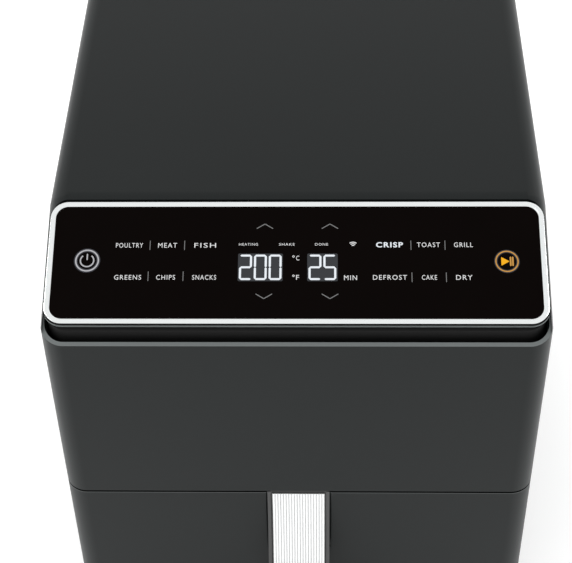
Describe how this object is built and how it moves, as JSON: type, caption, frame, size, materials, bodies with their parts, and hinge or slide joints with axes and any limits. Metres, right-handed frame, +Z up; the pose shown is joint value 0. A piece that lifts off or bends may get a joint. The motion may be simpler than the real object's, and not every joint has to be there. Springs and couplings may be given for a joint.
{
  "type": "air fryer",
  "caption": "Countertop basket air fryer: dark rounded box with a sloped touch panel in a silver frame and a front drawer with a ribbed curved handle.",
  "frame": {"origin": "on the table, under the middle of the bounding box, handle included", "axes": "-Y is the front with the handle and the control panel, +X is the right for a viewer facing the front, +Z up"},
  "size_m": [0.296, 0.394, 0.315],
  "materials": {
    "shell_black": "fine satin texture, dark grey",
    "base_black": "matt",
    "panel_black": "matt",
    "rubber": "matt",
    "trim_silver": "satin",
    "panel_glass": "gloss, opaque black",
    "display": "white light box",
    "board": "green laminate",
    "spring_steel": "bright",
    "plated_steel": "aluminised sheet",
    "stainless": "plain sheet",
    "heater_sheath": "dark oxide sheath",
    "wool": "pressed mineral fibre",
    "lamination": "stacked steel sheet",
    "copper": "enamelled copper winding",
    "bronze": "sintered bronze",
    "component_black": "matt",
    "cable": "flat grey cable",
    "fan_metal": "plain sheet",
    "nonstick": "non-stick coating",
    "switch_red": "matt",
    "screw_steel": "black zinc",
    "silicone": "matt silicone",
    "ceramic": "ceramic and tin plate"
  },
  "bodies": {
    "body": {"outer_shell": "shell_black", "rear_cover": "shell_black", "base_pan": "base_black", "foot_front_left": "rubber", "foot_front_right": "rubber", "foot_back_left": "rubber", "foot_back_right": "rubber", "panel_housing": "panel_black", "panel_frame": "trim_silver", "panel_glass": "panel_glass", "display_module": "display", "control_board": "board", "touch_springs": "spring_steel", "chamber_liner": "plated_steel", "fan_dome": "plated_steel", "heat_shield": "plated_steel", "insulation_left": "wool", "insulation_right": "wool", "guide_rail_left": "stainless", "guide_rail_right": "stainless", "catch_spring_left": "spring_steel", "catch_spring_right": "spring_steel", "upper_heater": "heater_sheath", "lower_heater": "heater_sheath", "heater_clips": "stainless", "heater_guard": "stainless", "motor_bracket": "stainless", "top_bracket": "stainless", "stator_core": "lamination", "stator_coil": "copper", "lower_bush": "bronze", "upper_bush": "bronze", "power_board": "board", "board_components": "component_black", "ribbon_cable": "cable", "temperature_sensor": "stainless", "thermal_cutout": "ceramic", "exhaust_duct": "plated_steel", "cord_gland": "rubber", "basket_switch": "component_black", "rear_screws": "screw_steel", "base_screws": "screw_steel"},
    "drawer": {"basket": "nonstick", "basket_bracket": "stainless", "drawer_front": "shell_black", "drawer_back_plate": "base_black", "front_seal": "silicone", "handle_bar": "panel_black", "handle_trim": "trim_silver", "handle_screws": "screw_steel"},
    "plate": {"crisper_plate": "nonstick", "plate_bumpers": "silicone"},
    "fan": {"motor_shaft": "stainless", "rotor_core": "lamination", "hot_air_fan": "fan_metal", "fan_nut": "stainless", "cooling_fan": "component_black"},
    "plunger": {"switch_plunger": "switch_red"}
  },
  "joints": [
    {"name": "drawer_slide", "type": "slide", "parent": "body", "child": "drawer", "axis": [0, -1, 0], "range_m": [0, 0.3]},
    {"name": "plate_lift", "type": "slide", "parent": "drawer", "child": "plate", "axis": [0, 0, 1], "range_m": [0, 0.08]},
    {"name": "fan_spin", "type": "hinge", "parent": "body", "child": "fan", "pos_m": [0, 0.0086, 0.21], "axis": [0, 0, 1], "continuous": true},
    {"name": "switch_press", "type": "slide", "parent": "body", "child": "plunger", "axis": [0, -1, 0], "range_m": [0, 0.003]}
  ],
  "couplings": [
    {"joint": "switch_press", "follows": "drawer_slide", "ratio": 0.01}
  ]
}
